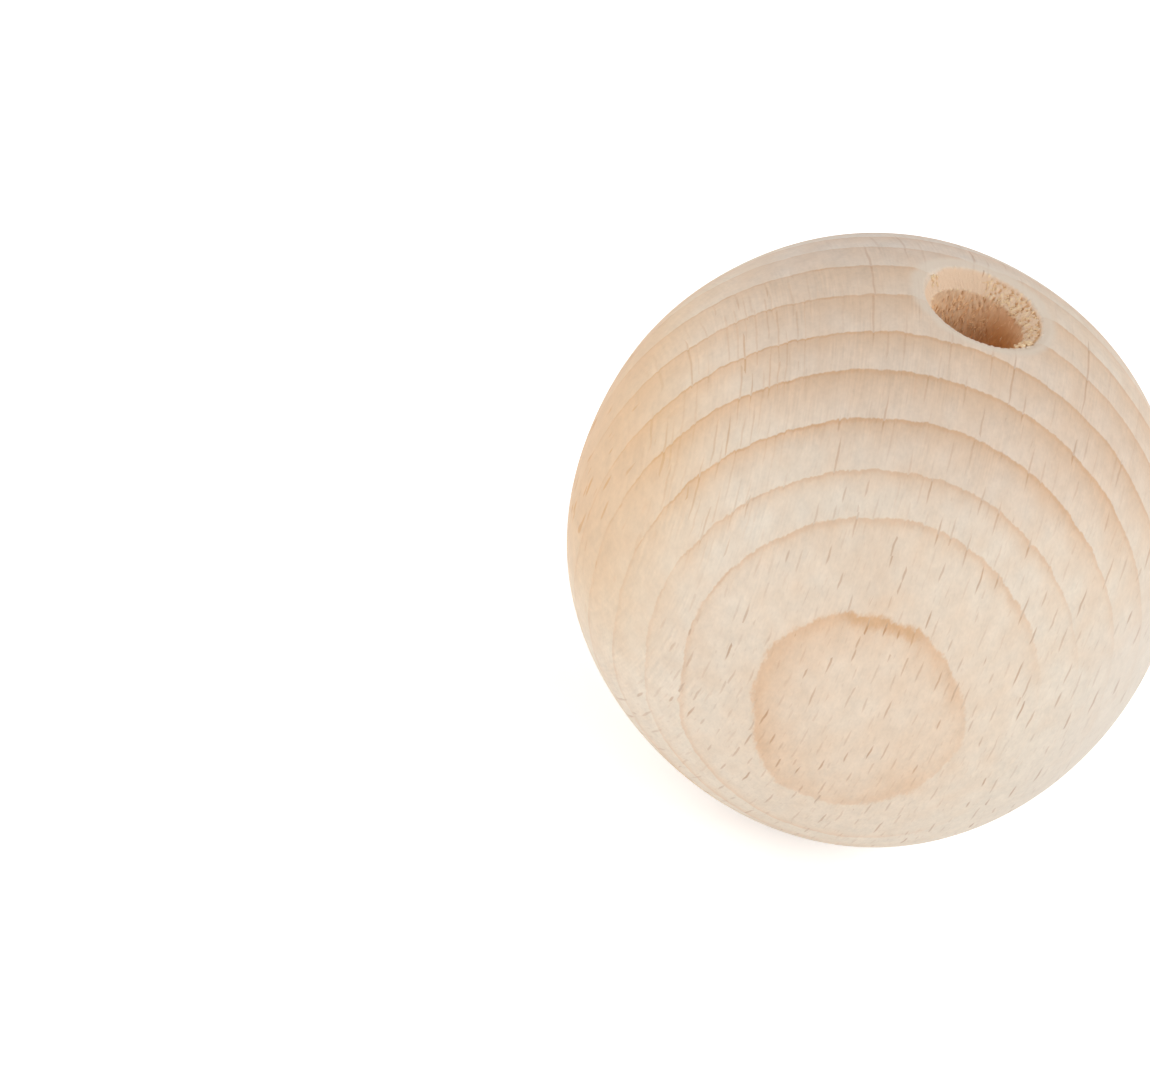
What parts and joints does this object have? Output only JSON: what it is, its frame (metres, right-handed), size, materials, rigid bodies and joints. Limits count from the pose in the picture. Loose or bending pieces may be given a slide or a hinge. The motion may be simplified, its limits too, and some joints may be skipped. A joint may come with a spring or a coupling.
{
  "type": "drilled wooden ball",
  "caption": "Ball of pale beech, bored right through along the grain, with a countersunk mouth, a small flat and a soft shoulder at each end.",
  "frame": {"origin": "centre of the ball, on the axis of the bore, half way through it", "axes": "+Z along the bore and the grain, up from the mouth that the ball stands on; -Y towards the pith side of the wood"},
  "size_m": [0.05, 0.05, 0.0482],
  "materials": {
    "beech": "matte"
  },
  "bodies": {
    "root": {"ball": "beech"}
  },
  "joints": []
}
